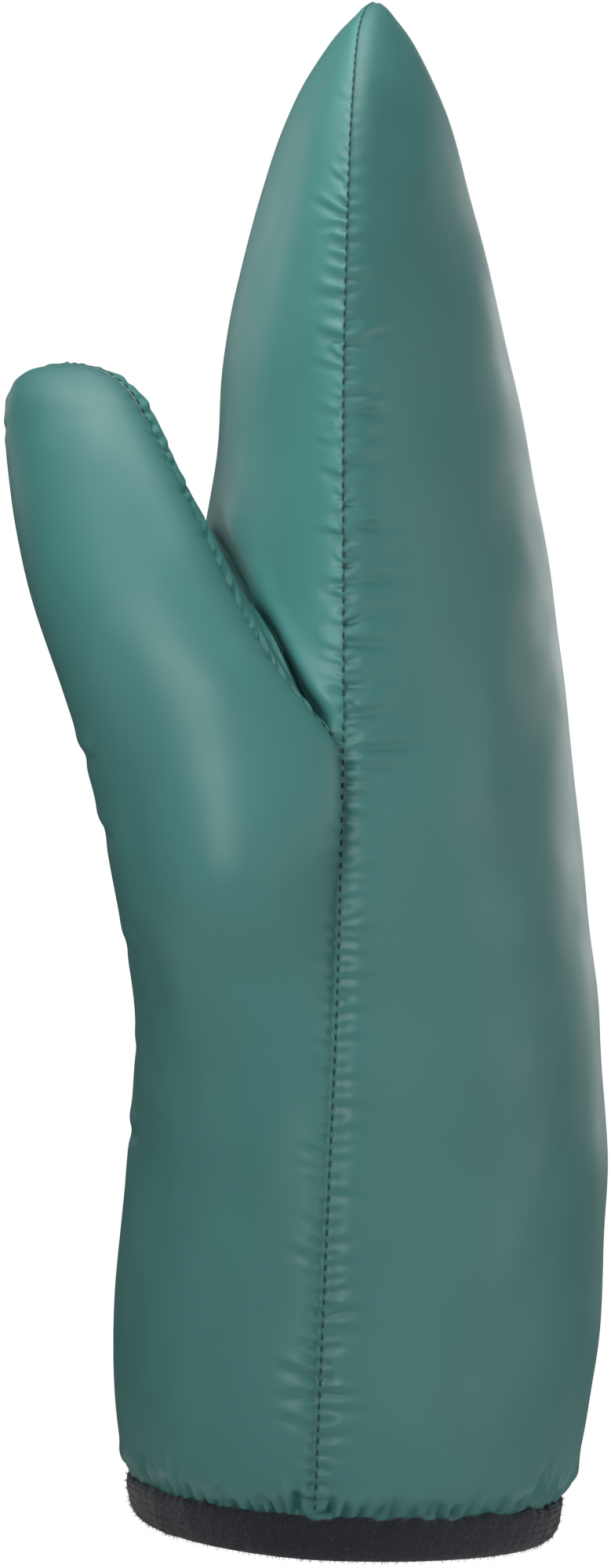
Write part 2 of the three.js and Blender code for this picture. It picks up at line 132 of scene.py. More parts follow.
# Mesh fineness
ROW_STEP = 0.5
BACK_COLUMNS = 144
PALM_COLUMNS = 132
VALLEY_COLUMNS = 120
CROSS_COLUMNS = 56
SEAM_CROWDING = 1.5
LINING_SKIP = 4
BINDING_STEPS = 720

# The camera, the floor in metres, and the light from all round
EYE = (-0.0079, -1.058, 0.1416)
VIEW_HEIGHT = 0.3
SENSOR = 36
FLOOR_RADIUS = 0.33
FLOOR_HEIGHT = -0.06
SKY_LIGHT = 0.025

LENGTH = WEB_HEIGHT + FINGER_LENGTH
SIDE_MOST = HAND_WIDTH / 2
OUT_OF_REACH = 9 * LENGTH  # a place along a seam that no crease comes near


def table(columns, rows):
    """A table with named columns, read as smooth curves."""
    return {"columns": columns.split(), "rows": np.array(rows, float)}


# The hand's sections. up is a share of WEB_HEIGHT below the crotch and, past 1, of FINGER_LENGTH above
# it. back, palm and seam are shares of HAND_DEPTH from the axis, side and middle of half HAND_WIDTH.
HAND_SECTIONS = table(
    "up     back   palm    seam    side   middle  crest",
    [
        (0.0, 0.418, -0.43, -0.068, 0.93, 0, 1.05),
        (0.07, 0.452, -0.452, -0.065, 0.95, 0, 1.05),
        (0.17, 0.486, -0.468, -0.059, 0.955, 0, 1.05),
        (0.3, 0.514, -0.474, -0.05, 0.93, 0, 1.08),
        (0.47, 0.526, -0.447, -0.038, 0.905, 0, 1.1),
        (0.64, 0.515, -0.42, -0.026, 0.91, 0, 1.12),
        (0.82, 0.484, -0.395, -0.017, 0.95, 0, 1.2),
        (1.0, 0.45, -0.36, -0.011, 0.985, 0, 1.45),
        (1.19, 0.413, -0.31, -0.011, 1.0, 0, 1.7),
        (1.37, 0.369, -0.266, -0.012, 0.99, 0, 1.8),
        (1.52, 0.326, -0.25, -0.01, 0.95, -0.01, 1.85),
        (1.66, 0.274, -0.212, -0.004, 0.865, -0.02, 1.85),
        (1.78, 0.229, -0.163, 0.002, 0.745, -0.03, 1.8),
        (1.87, 0.187, -0.11, 0.01, 0.6, -0.04, 1.65),
        (1.94, 0.142, -0.043, 0.02, 0.435, -0.045, 1.45),
        (1.978, 0.105, 0.014, 0.034, 0.285, -0.05, 1.25),
        (1.996, 0.076, 0.044, 0.05, 0.13, -0.05, 1.1),
        (2.0, 0.06, 0.06, 0.06, 0, -0.05, 1),
    ],
)

# The thumb's sections, level ovals: shares of THUMB_HEIGHT, THUMB_REACH, THUMB_SPREAD, THUMB_BREADTH.
THUMB_SECTIONS = table(
    "up     out    aside  breadth",
    [
        (0.0, 0.0, 0.0, 1.0),
        (0.193, 0.188, 0.564, 0.91),
        (0.331, 0.35, 0.909, 0.9),
        (0.442, 0.51, 1.0, 0.815),
        (0.571, 0.652, 0.909, 0.726),
        (0.7, 0.762, 0.718, 0.65),
        (0.81, 0.859, 0.518, 0.574),
        (0.884, 0.915, 0.373, 0.52),
        (0.944, 0.958, 0.273, 0.44),
        (0.983, 0.988, 0.209, 0.27),
        (1.0, 1.0, 0.191, 0),
    ],
)

# The finger panel's lower edge on the hand's palm side. turn is in degrees from the palm's middle,
# above a share of FINGER_LENGTH over the crotch, below a share of the drop from it to the join.
VALLEY = table(
    "turn  above",
    [
        (-90, 0),
        (-73, 0.042),
        (-60, 0.112),
        (-49, 0.162),
        (-34, 0.185),
        (-20, 0.165),
        (-8, 0.09),
        (2, -0.015),
    ],
)
CROSS_SEAM = table(
    "turn  below",
    [
        (2, 0.035),
        (20, 0.34),
        (45, 0.66),
        (70, 0.9),
        (90, 1),
    ],
)

# The crown of the thumb panel between the cross seam's ends.
MOUND_CROWN = table(
    "above  out    aside   front  rear",
    [
        (0, -0.425, -0.02, 1.115, 1.15),
        (0.25, -0.42, -0.38, 1.05, 1.4),
        (0.5, -0.43, -0.77, 0.92, 1.6),
        (0.75, -0.447, -0.88, 0.84, 1.5),
        (0.975, -0.478, -0.88, 0.7, 1.3),
    ],
)

# How strongly the radial seam gathers the cloth on its two sides, by height in millimetres
RADIAL_GATHER = table(
    "height  palm  back",
    [
        (0, 0.8, 0.8),
        (30, 0.9, 0.8),
        (60, 0.5, 0.45),
        (90, 0.45, 0.4),
        (120, 0.5, 0.45),
        (140, 0.7, 0.7),
        (150, 0.9, 1.2),
        (180, 1.0, 1.2),
        (215, 1.1, 0.9),
        (240, 1.0, 0.4),
        (250, 0.9, 0.25),
        (258, 0.25, 0.1),
        (295, 0.12, 0.08),
    ],
)

# The larger creases that the photograph shows beside the radial seam: millimetres, slope is rise over run
MAIN_CREASES = {
    "palm": [
        # height, reach, width, depth, slope, bend
        (251.5, 8, 0.55, 0.4, 0.25, 0.1),
        (247.5, 7, 0.6, 0.55, 0.12, 0.05),
        (245.5, 15, 0.65, 0.75, 0.2, 0.05),
        (243.5, 13, 0.55, 0.5, 0.08, -0.12),
        (240, 10, 0.7, 0.5, 0.1, -0.1),
        (237.5, 9, 0.65, 0.6, -0.02, 0.1),
        (233, 8, 0.6, 0.4, 0.1, 0),
        (230.5, 14, 0.8, 0.8, 0.04, -0.02),
        (227, 8, 0.55, 0.5, -0.06, 0.05),
        (222.5, 12, 0.65, 0.65, 0.1, 0.03),
        (217, 15, 0.6, 0.5, 0.06, 0.05),
        (209, 12, 0.7, 0.6, -0.08, 0.1),
        (203, 15, 0.55, 0.4, 0.02, 0.06),
        (197, 11, 0.6, 0.6, 0.08, 0.05),
        (187, 13, 0.6, 0.6, -0.05, 0.05),
        (178, 10, 0.65, 0.6, -0.12, 0.05),
        (165, 11, 0.7, 0.55, 0.12, 0.05),
    ],
    "back": [
        (222, 14, 0.7, 0.35, 0.2, 0.05),
        (199, 11, 0.8, 0.4, 0.15, 0),
        (187, 13, 0.8, 0.5, 0.25, -0.05),
        (178, 17, 0.7, 0.4, 0.08, 0.05),
        (171, 14, 0.8, 0.5, 0.2, 0.05),
        (160, 11, 0.7, 0.4, 0.12, 0),
        (148, 21, 0.75, 0.55, -0.03, 0.12),
        (145, 15, 0.65, 0.45, -0.06, 0.03),
        (142, 10, 0.7, 0.4, -0.08, 0),
    ],
}

# Short folds over the palm's outermost line, by height, in the same columns
PALM_FOLDS = (
    (146, 30, 1.3, 0.55, 0.06, -0.03),
    (131.5, 34, 1.6, 0.6, 0.08, -0.05),
    (110.5, 30, 1.3, 0.45, 0.05, 0.02),
    (92, 24, 1.1, 0.3, -0.05, 0.02),
    (75, 32, 1.4, 0.5, 0.04, -0.03),
)
# how far before that line they start
PALM_FOLD_START = 14

# The tape's section: height over the lowest point, distance out from a face and which face.
TAPE_SECTION = (
    (8.05, 0.1, False),
    (7.85, 0.6, False),
    (7.3, 1.05, False),
    (6.3, 1.3, False),
    (5, 1.48, False),
    (3.6, 1.58, False),
    (2.3, 1.52, False),
    (1.3, 1.25, False),
    (0.55, 0.75, False),
    (0.12, 0.05, False),
    (0, -0.8, False),
    (0, 0.4, True),
    (0.3, -0.4, True),
    (1.1, -1.1, True),
    (2.6, -1.4, True),
    (5, -1.4, True),
    (7.2, -1.2, True),
    (8, -0.6, True),
    (8, -0.15, True),
    (4.5, -0.15, True),
    (1.3, -0.15, True),
    (1.3, 0.15, False),
    (4.5, 0.12, False),
)

# Soft lamps: place and aim in metres, size across and power in watts
HAND_AIM = (-0.01, -0.02, 0.2)
MIDDLE_AIM = (0, 0, 0.14)
LAMPS = (
    ("key", (-0.1, -0.26, 0.2), HAND_AIM, 0.16, 0.38),
    ("key_far", (-0.1, -0.45, 0.2), HAND_AIM, 0.16, 0.22),
    ("key_high", (-0.25, -0.26, 0.44), HAND_AIM, 0.16, 0.13),
    ("fill_left", (-0.25, -0.08, 0.06), HAND_AIM, 0.16, 0.045),
    ("fill_right", (0.2, -0.26, 0.06), HAND_AIM, 0.16, 0.13),
    ("fill_far", (0.2, -0.45, 0.2), HAND_AIM, 0.16, 0.06),
    ("top_left", (-0.1, -0.08, 0.43), HAND_AIM, 0.16, 0.26),
    ("top_right", (0.05, -0.08, 0.44), HAND_AIM, 0.16, 0.22),
    ("side_right", (1.2, -0.2, 0.14), MIDDLE_AIM, 0.5, 2.8),
    ("overhead", (0, 0.1, 1.3), MIDDLE_AIM, 1.0, 4.5),
    ("back_fill", (0.1, 1.3, 0.4), MIDDLE_AIM, 0.5, 2.2),
    ("rim_right", (0.62, 0.9, 0.28), MIDDLE_AIM, 0.5, 2.4),
    ("back_right", (1.0, 0.4, 0.3), MIDDLE_AIM, 0.5, 0.5),
    ("rim_left", (-0.8, 0.9, 0.5), MIDDLE_AIM, 0.5, 1.3),
)


def smooth(value, low, high):
    """0 below low, 1 above high, and an even S between."""
    t = np.clip((value - low) / (high - low), 0, 1)
    return t * t * (3 - 2 * t)


def read(rows, at):
    """Every column of a table at places from 0 to 1, by name."""
    at = np.asarray(at, float)
    values = rows["rows"]
    place = np.clip(at, 0, 1) * (len(values) - 1)
    index = np.minimum(place.astype(int), len(values) - 2)
    t = (place - index)[..., None]
    before = values[np.maximum(index - 1, 0)]
    start = values[index]
    end = values[index + 1]
    after = values[np.minimum(index + 2, len(values) - 1)]
    slope_in = (end - before) / 2
    slope_out = (after - start) / 2
    rise = end - start
    square = 3 * rise - 2 * slope_in - slope_out
    cube = slope_in + slope_out - 2 * rise
    found = start + slope_in * t + square * t**2 + cube * t**3
    return {name: found[..., k] for k, name in enumerate(rows["columns"])}


def place_of(rows, value, key="up"):
    """The place in a table at which a rising column reaches a value."""
    places = np.linspace(0, 1, 8001)
    return np.interp(value, read(rows, places)[key], places)


def hand_place(height):
    """The place in the hand's table at a height."""
    below = np.minimum(height, WEB_HEIGHT) / WEB_HEIGHT
    above = np.maximum(height - WEB_HEIGHT, 0) / FINGER_LENGTH
    return place_of(HAND_SECTIONS, below + above)


def points(x, y, z):
    """Points from coordinates of any matching shapes."""
    return np.stack(np.broadcast_arrays(x, y, z), axis=-1).astype(float)


def edge_drop(x):
    """How far the cuff's edge lies below level, at a distance from its middle towards the back."""
    return x * math.tan(math.radians(CUFF_SLANT)) + CUFF_SAG * (1 - (x / (HAND_DEPTH / 2)) ** 2)


def slanted(p):
    """The cuff's edge is slanted and hangs lower at the seams, and both die out above it."""
    fade = 1 - smooth(p[..., 2], 0, JOIN_HEIGHT)
    lowered = p.copy()
    lowered[..., 2] -= edge_drop(p[..., 0]) * fade
    return lowered


def section_point(section, angle):
    """Points of a section from its front seam over the crown to its rear seam, angle from -90 degrees."""
    front, crown, rear = section["front"], section["crown"], section["rear"]
    middle = (front + rear) / 2
    reach = crown - middle
    half = (rear - front) / 2
    wide = np.linalg.norm(half, axis=-1)
    crest = np.where(angle < 0, section["crest"], section.get("rear_crest", section["crest"]))
    rise = np.maximum(np.cos(angle), 0) ** crest
    away = np.linalg.norm(reach, axis=-1) * rise / SEAM_ROLL
    swell = (1 - np.exp(-(away**2))) * SEAM_PUFF * section["puff"]
    stretch = 1 + swell / (wide + SEAM_ROLL)
    return middle + reach * rise[..., None] + half * (np.sin(angle) * stretch)[..., None]


def hand_section(at, side, inner=False):
    """The hand's seams, the crown of one side between them and the shape there, outside or inside."""
    row = read(HAND_SECTIONS, at)
    height = np.minimum(row["up"], 1) * WEB_HEIGHT + np.maximum(row["up"] - 1, 0) * FINGER_LENGTH
    if inner:
        height = height * (1 - TIP_WALL / LENGTH)
    swollen = smooth(height, BINDING_HEIGHT, BINDING_HEIGHT + PINCH_RISE)
    pinch = CUFF_PINCH * (1 - swollen)
    padded = smooth(height, BINDING_HEIGHT, 3 * BINDING_HEIGHT)
    wall = RIM_WALL + (PADDED_WALL - RIM_WALL) * padded if inner else 0
    seam_wall = RIM_WALL + (SEAM_WALL - RIM_WALL) * padded if inner else 0
    narrower = 1 - (pinch + seam_wall) / SIDE_MOST
    shallower = 1 - (pinch + wall) / (HAND_DEPTH / 2)
    seam_x = row["seam"] * HAND_DEPTH
    crown_x = seam_x + (row[side] - row["seam"]) * HAND_DEPTH * shallower
    half = np.maximum(row["side"], 0) * SIDE_MOST * narrower
    middle = row["middle"] * SIDE_MOST
    return {
        "front": slanted(points(seam_x, middle - half, height)),
        "crown": slanted(points(crown_x, middle, height)),
        "rear": slanted(points(seam_x, middle + half, height)),
        "crest": row["crest"],
        "puff": 0 * swollen if inner else swollen,
    }


def hand_point(at, angle, side, inner=False):
    """A point on one side of the hand, -90 degrees at its front seam and 90 at its rear seam."""
    return section_point(hand_section(at, side, inner), angle)


def thumb_section(at, inner=False):
    """The thumb's seams and its two crowns."""
    row = read(THUMB_SECTIONS, at)
    shrink = 1 - THUMB_TIP_WALL / THUMB_HEIGHT if inner else 1
    half = np.maximum(row["breadth"], 0) * THUMB_BREADTH / 2
    less_seam = 1 - 2 * SEAM_WALL / THUMB_BREADTH if inner else 1
    less_wall = 1 - 2 * PADDED_WALL / THUMB_BREADTH if inner else 1
    twist = math.radians(THUMB_TWIST)
    along = points(-math.cos(twist), math.sin(twist), 0) * (half * less_seam)[..., None]
    outward = points(-math.sin(twist), -math.cos(twist), 0)
    outward = outward * (half * THUMB_FLATNESS * less_wall)[..., None]
    axis = points(
        -THUMB_PALMWARD - row["out"] * THUMB_REACH,
        THUMB_IN_FROM_SIDE - SIDE_MOST - row["aside"] * THUMB_SPREAD,
        WEB_HEIGHT - THUMB_BELOW_WEB + row["up"] * THUMB_HEIGHT * shrink,
    )
    return {
        "front": axis - along,
        "rear": axis + along,
        "outer": axis + outward,
        "inner": axis - outward,
        "puff": np.zeros(half.shape) if inner else np.ones(half.shape),
    }


def valley_edge(share):
    """The place and angle on the hand of the valley behind the thumb."""
    row = read(VALLEY, share)
    return hand_place(WEB_HEIGHT + row["above"] * FINGER_LENGTH), np.radians(row["turn"])


def cross_edge(share):
    """The place and angle on the hand of the palm's cross seam."""
    row = read(CROSS_SEAM, share)
    return hand_place(WEB_HEIGHT - row["below"] * (WEB_HEIGHT - JOIN_HEIGHT)), np.radians(row["turn"])


THUMB_START = float(place_of(THUMB_SECTIONS, THUMB_FREE))


def root_fade(along):
    """1 where the thumb leaves the hand, 0 where it has its own form."""
    return np.maximum(1 - along / ROOT_FADE, 0) ** 2


def thumb_inner_point(column, along, inner=False):
    """The thumb's palm-facing half, from the valley to the tip."""
    turn = (2 * column - 1) * math.pi / 2
    place, angle = valley_edge(column)
    outer_foot = hand_point(place, angle, "palm")
    foot = hand_point(place, angle, "palm", inner)
    up = (outer_foot[..., 2] - (WEB_HEIGHT - THUMB_BELOW_WEB)) / THUMB_HEIGHT
    start = place_of(THUMB_SECTIONS, up)

    def on_thumb(at):
        s = thumb_section(at, inner)
        return section_point({**s, "crown": s["inner"], "crest": 1.0}, turn)

    drawn = foot - on_thumb(start)
    return on_thumb(start + (1 - start) * along) + drawn * root_fade(along)[..., None]


def mound_crown(row, inner):
    """The crown point of the mound below the thumb, from a row of its table."""
    wall = PADDED_WALL if inner else 0
    depth = row["out"] * HAND_DEPTH + wall * (1 + row["aside"] * 0.5)
    aside = row["aside"] * SIDE_MOST - wall * row["aside"]
    return points(depth, aside, JOIN_HEIGHT + row["above"] * (WEB_HEIGHT - JOIN_HEIGHT))


def thumb_outer_crown(along, inner):
    """The crown of the thumb's outer half, drawn to the mound's crown at its root."""
    start = thumb_section(THUMB_START, inner)["outer"]
    drawn = mound_crown(read(MOUND_CROWN, 1), inner) - start
    at = THUMB_START + (1 - THUMB_START) * along
    return thumb_section(at, inner)["outer"] + drawn * root_fade(along)[..., None]


def mound_section(share, inner=False):
    """The thumb panel's sections beside the cross seam, from the join to the crotch."""
    row = read(MOUND_CROWN, share)
    side = hand_section(hand_place(JOIN_HEIGHT + (WEB_HEIGHT - JOIN_HEIGHT) * share), "palm", inner)
    place, angle = cross_edge(1 - share)
    return {
        **side,
        "crown": mound_crown(row, inner),
        "rear": hand_point(place, angle, "palm", inner),
        "crest": row["front"],
        "rear_crest": row["rear"],
    }


def outer_thumb_section(along, inner=False):
    """The thumb panel's sections above the crotch."""
    fade = root_fade(along)
    last = read(MOUND_CROWN, 1)
    return {
        "front": thumb_inner_point(0 * along, along, inner),
        "crown": thumb_outer_crown(along, inner),
        "rear": thumb_inner_point(1 + 0 * along, along, inner),
        "crest": THUMB_FRONT_CREST + (last["front"] - THUMB_FRONT_CREST) * fade,
        "rear_crest": THUMB_REAR_CREST + (last["rear"] - THUMB_REAR_CREST) * fade,
        "puff": 0 * along if inner else 1 + 0 * along,
    }


def even_steps(curve, start, end, step, fold=LINING_SKIP):
    """Shares from start to end that lie about step apart along a curve, a whole number of folds."""
    fine = np.linspace(start, end, 1500)
    gaps = np.linalg.norm(np.diff(curve(fine), axis=0), axis=-1)
    lengths = np.concatenate([[0], np.cumsum(gaps)])
    count = fold * math.ceil(lengths[-1] / step / fold)
    return np.interp(np.linspace(0, lengths[-1], count + 1), lengths, fine)


def across_angles(count):
    """Angles from seam to seam, much closer together beside the seams."""
    u = np.linspace(-1, 1, count + 1)
    return np.sign(u) * (1 - (1 - np.abs(u)) ** SEAM_CROWDING) * math.pi / 2


def column_shares(count):
    """Shares of the way between two seams, much closer together beside them."""
    return across_angles(count) / math.pi + 0.5


def strip_faces(ids):
    """Faces between the rows of a grid of vertex numbers; a row of one number closes to a point."""
    a, b, c, d = ids[:-1, :-1], ids[:-1, 1:], ids[1:, 1:], ids[1:, :-1]
    quads = np.stack([a, b, c, d], axis=-1).reshape(-1, 4)
    flat = quads[:, 2] == quads[:, 3]
    return quads[~flat].tolist() + quads[flat][:, :3].tolist()


def arc_lengths(grid, axis):
    """Distance along a grid's rows or columns from their start."""
    gaps = np.linalg.norm(np.diff(grid, axis=axis), axis=-1)
    start = np.zeros_like(np.take(gaps, [0], axis=axis))
    return np.concatenate([start, np.cumsum(gaps, axis=axis)], axis=axis)


def grid_normals(grid):
    """Unit normals at a grid's points, all on one side of it."""
    across = np.gradient(grid, axis=1)
    up = np.gradient(grid, axis=0)
    normal = np.cross(across, up)
    return normal / np.maximum(np.linalg.norm(normal, axis=-1), 1e-9)[..., None]


def panel_mesh(name, outer_grids, inner_grids, ids_of):
    """A padded panel: outer faces, coarser lining faces and the wall round their edges."""
    outer = np.concatenate([g.reshape(-1, 3) for g in outer_grids])
    fine_ids, coarse_ids = ids_of(outer_grids), ids_of(inner_grids)
    inner = np.concatenate([g.reshape(-1, 3) for g in inner_grids])
    fine = [f for ids in fine_ids for f in strip_faces(ids)]
    coarse = [f for ids in coarse_ids for f in strip_faces(ids)]
    coarse_of = {}
    for big, small in zip(fine_ids, coarse_ids):
        coarse_of.update(zip(small.ravel().tolist(), big[::LINING_SKIP, ::LINING_SKIP].ravel().tolist()))
    offset = len(outer)
    faces = fine + [tuple(offset + v for v in reversed(f)) for f in coarse]
    following = dict(open_edges(fine))
    for start, end in open_edges(coarse):
        path = [coarse_of[start]]
        while path[-1] != coarse_of[end]:
            path.append(following[path[-1]])
        faces.append([offset + start, offset + end] + path[::-1])
    return mesh_object(name, np.concatenate([outer, inner]), faces)


def open_edges(faces):
    """The directed edges that have a face on one side only."""
    directed = {(f[k], f[(k + 1) % len(f)]) for f in faces for k in range(len(f))}
    return [edge for edge in directed if (edge[1], edge[0]) not in directed]


def mesh_object(name, millimetres, faces, smooth_shading=True):
    """An object in the scene from points and faces, without loose points, its faces turned outward."""
    mesh = bpy.data.meshes.new(name)
    mesh.from_pydata((millimetres * MM).tolist(), [], faces)
    mesh.validate()
    used = bmesh.new()
    used.from_mesh(mesh)
    loose = [v for v in used.verts if not v.link_faces]
    bmesh.ops.delete(used, geom=loose, context="VERTS")
    bmesh.ops.recalc_face_normals(used, faces=used.faces)
    used.to_mesh(mesh)
    used.free()
    if smooth_shading:
        mesh.shade_smooth()
    piece = bpy.data.objects.new(name, mesh)
    bpy.context.scene.collection.objects.link(piece)
    return piece


def single_grid_ids(grids):
    """Vertex numbers of one grid whose last row is a single point."""
    rows, columns = grids[0].shape[:2]
    ids = np.arange(rows * columns).reshape(rows, columns)
    ids[-1, :] = ids[-1, 0]
    return [ids]


def joined_grid_ids(grids):
    """Vertex numbers of the finger panel: the thumb's grid starts on the hand grid's first row."""
    hand, thumb = grids
    rows, columns = hand.shape[:2]
    ids = np.arange(rows * columns).reshape(rows, columns)
    ids[-1, :] = ids[-1, 0]
    thumb_rows, thumb_columns = thumb.shape[:2]
    thumb_ids = rows * columns + np.arange(thumb_rows * thumb_columns).reshape(thumb_rows, thumb_columns)
    thumb_ids[0] = ids[0, :thumb_columns]
    thumb_ids[-1, :] = thumb_ids[-1, 0]
    return [ids, thumb_ids[:, ::-1]]


def back_surface(places, angles, inner=False):
    """The back panel's plain form, one row of points to a place."""
    return hand_point(places[:, None], angles[None, :], "back", inner)


def palm_edge(columns, cross):
    """Places and angles of the finger panel's lower edge, the valley and then the cross seam."""
    valley = valley_edge(columns)
    seam = cross_edge(cross)
    return np.concatenate([valley[0], seam[0]]), np.concatenate([valley[1], seam[1]])


def finger_surface(rises, columns, cross, inner=False):
    """The finger panel's plain form over the fingers, from its lower edge to the tip."""
    place, angle = palm_edge(columns, cross)
    at = place[None, :] + (1 - place[None, :]) * rises[:, None]
    return hand_point(at, angle[None, :], "palm", inner)


def thumb_inner_surface(alongs, columns, inner=False):
    """The finger panel's plain form up the thumb, one row of points to a place along it."""
    return thumb_inner_point(columns[None, :] + 0 * alongs[:, None], alongs[:, None] + 0 * columns, inner)


def thumb_panel_surface(wrist, mound, alongs, angles, inner=False):
    """The thumb panel's plain form, over the wrist, the mound and the thumb's outer half."""
    sections = [
        hand_section(wrist[:, None], "palm", inner),
        mound_section(mound[:, None], inner),
        outer_thumb_section(alongs[:, None], inner),
    ]
    return np.concatenate([section_point(s, angles[None, :]) for s in sections])


def outward_normals(grid):
    """Normals that point away from the grid's middle."""
    normal = grid_normals(grid)
    facing = np.sum(normal * (grid - grid.reshape(-1, 3).mean(axis=0)))
    return normal * np.sign(facing)


def ease_rows(grid, joins, reach):
    """Evens a grid out along its columns around some rows, less and less towards the seams."""
    away = np.minimum(arc_lengths(grid, 1), arc_lengths(grid[:, ::-1], 1)[:, ::-1])
    rows = np.arange(len(grid))[:, None]
    window = sum(np.exp(-(((rows - row) * ROW_STEP / reach) ** 2)) for row in joins)
    weight = 0.25 * (smooth(away, 0.5, 1.6 * reach) * np.minimum(window, 1))[1:-1, :, None]
    eased = grid.copy()
    for _ in range(int(2 * (reach / ROW_STEP) ** 2)):
        eased[1:-1] += weight * (eased[:-2] + eased[2:] - 2 * eased[1:-1])
    return eased


def scattered_puckers(seed, length, strength, spacing=PUCKER_SPACING):
    """Small creases along a seam, as rows of place, reach, width, depth, slope and bend. strength is a
    number, or a function of the place along the seam."""
    draw = np.random.default_rng(seed)
    rows = []
    at = draw.uniform(*spacing)
    while at < length:
        long = draw.random() ** 2
        reach = 3 + 9 * long
        width = draw.uniform(0.38, 0.6) + 0.3 * long
        depth = draw.uniform(0.3, 0.85) * float(strength(at) if callable(strength) else strength)
        rows.append((at, reach, width, depth, draw.uniform(-0.14, 0.2), draw.uniform(-0.15, 0.15)))
        at += draw.uniform(*spacing)
    return rows


def crease_relief(along, away, rows):
    """Height of the cloth from creases that run away from a seam: a sharp valley beside a soft ridge."""
    relief = np.zeros(away.shape)
    along = np.broadcast_to(along, away.shape)
    for at, reach, width, depth, slope, bend in rows:
        near = (away < reach) & (np.abs(along - at) < 4 * width + reach * 0.8)
        if not near.any():
            continue
        run = away[near] / reach
        side = along[near] - at - reach * (slope * run + bend * run**2)
        spread = width * (1 + 0.7 * run)
        fade = smooth(away[near], 0, 0.8) * (1 - smooth(run, 0.2, 1)) * depth
        valley = np.exp(-((side / spread) ** 2))
        ridge = np.exp(-(((side - 1.8 * spread) / (1.2 * spread)) ** 2))
        relief[near] += fade * (0.6 * ridge - valley)
    return relief


def soft_waves(points_at, seed, sizes):
    """Smooth seeded unevenness: sines of several lengths in scattered directions."""
    draw = np.random.default_rng(seed)
    total = np.zeros(points_at.shape[:-1])
    for length, height in sizes:
        for _ in range(5):
            direction = draw.normal(size=3)
            direction /= np.linalg.norm(direction)
            phase = draw.uniform(0, 2 * math.pi)
            total += height / 2.2 * np.sin(points_at @ direction * 2 * math.pi / length + phase)
    return total


def seam_groove(away):
    """The dip beside a seam; the edges themselves meet on the seam's line."""
    run = away / SEAM_GROOVE_WIDTH
    return -SEAM_GROOVE * run * np.exp(1 - run)


def cloth_relief(grid, seed, seams, cuff=True):
    """How far the cloth stands off its plain form: puckers and grooves at the seams, gathers at the cuff
    and soft unevenness between them. seams lists the place along, the distance and the creases."""
    nearest = np.minimum.reduce([away for _, away, _ in seams])
    relief = soft_waves(grid, seed, CLOTH_WAVES) * smooth(nearest, 1, 16)
    for along, away, rows in seams:
        relief += crease_relief(along, away, rows) + seam_groove(away)
    if cuff:
        above = grid[..., 2] - slanted_height(grid, BINDING_HEIGHT)
        around = np.broadcast_to(arc_lengths(grid, 1)[20], above.shape)
        rows = scattered_puckers(seed + 7, around.max(), CUFF_GATHER, CUFF_GATHER_SPACING)
        relief = relief * smooth(above, -1, 2) + crease_relief(around, above, rows) * smooth(above, -0.5, 1)
    return relief


def slanted_height(grid, height):
    """The height of what lies at a height in the cuff before it is slanted."""
    return height - edge_drop(grid[..., 0])


def side_distances(grid):
    """Distances along a grid's rows from its first and its last column."""
    return arc_lengths(grid, 1), arc_lengths(grid[:, ::-1], 1)[:, ::-1]


def radial_creases(side, seed):
    """All creases on one side of a seam of the hand, from the cuff to the fingertip."""

    def gather(height):
        return read(RADIAL_GATHER, place_of(RADIAL_GATHER, height, "height"))[side]

    return scattered_puckers(seed, LENGTH, gather) + MAIN_CREASES[side]


def relieved(grid, relief):
    """The grid moved outward by the relief."""
    return grid + outward_normals(grid) * relief[..., None]


def hand_steps(side, start, end):
    """Places in the hand's table that lie a row step apart along its front seam."""

    def seam(at):
        return hand_point(at, -math.pi / 2, side)

    return even_steps(seam, start, end, ROW_STEP)


def thumb_steps():
    """Shares of the thumb's front seam that lie a row step apart."""

    def seam(along):
        return thumb_inner_point(0 * along, along)

    return even_steps(seam, 0, 1, ROW_STEP)


def mound_steps():
    """Shares of the way from the join to the crotch that lie a row step apart."""

    def seam(share):
        return section_point(mound_section(share), -math.pi / 2)

    return even_steps(seam, 0, 1, ROW_STEP)


def build_back_panel():
    """The panel over the back of the hand."""
    places = hand_steps("back", float(hand_place(BINDING_TAPE)), 1)
    angles = across_angles(BACK_COLUMNS)
    outer = back_surface(places, angles)
    front, rear = side_distances(outer)
    seams = [
        (outer[..., 2], front, radial_creases("back", SEED)),
        (outer[..., 2], rear, radial_creases("back", SEED + 1)),
    ]
    outer = relieved(outer, cloth_relief(outer, SEED, seams))
    inner = back_surface(places[::LINING_SKIP], angles[::LINING_SKIP], True)
    return panel_mesh("back_shell", [outer], [inner], single_grid_ids)


def thumb_fullness(away, past_web):
    """How much fuller the padding stands beside the thumb's front seam than in the plain form."""
    run = away / THUMB_FULLNESS_WIDTH
    window = smooth(past_web, *THUMB_FULLNESS_START) * (1 - smooth(past_web, *THUMB_FULLNESS_END))
    return THUMB_FULLNESS * run * np.exp(1 - run) * smooth(away, 0, 3) * window


def thumb_panel_seams(outer, web_row):
    """The thumb panel's front seam below and above the crotch, and its rear seam."""
    front, rear = side_distances(outer)
    climb = arc_lengths(outer[:, :1], 0)
    web_climb = float(climb[web_row, 0])
    thumb_creases = [
        (web_climb + at, *rest)
        for at, *rest in scattered_puckers(SEED + 3, climb.max() - web_climb, 0.4)
    ]
    hand_creases = [row for row in radial_creases("palm", SEED + 2) if row[0] < WEB_HEIGHT]
    on_hand = np.arange(len(outer))[:, None] <= web_row
    return [
        (np.where(on_hand, outer[..., 2], OUT_OF_REACH), front, hand_creases),
        (climb, front, thumb_creases),
        (arc_lengths(outer[:, -1:], 0), rear, scattered_puckers(SEED + 4, 400, 0.6)),
    ]


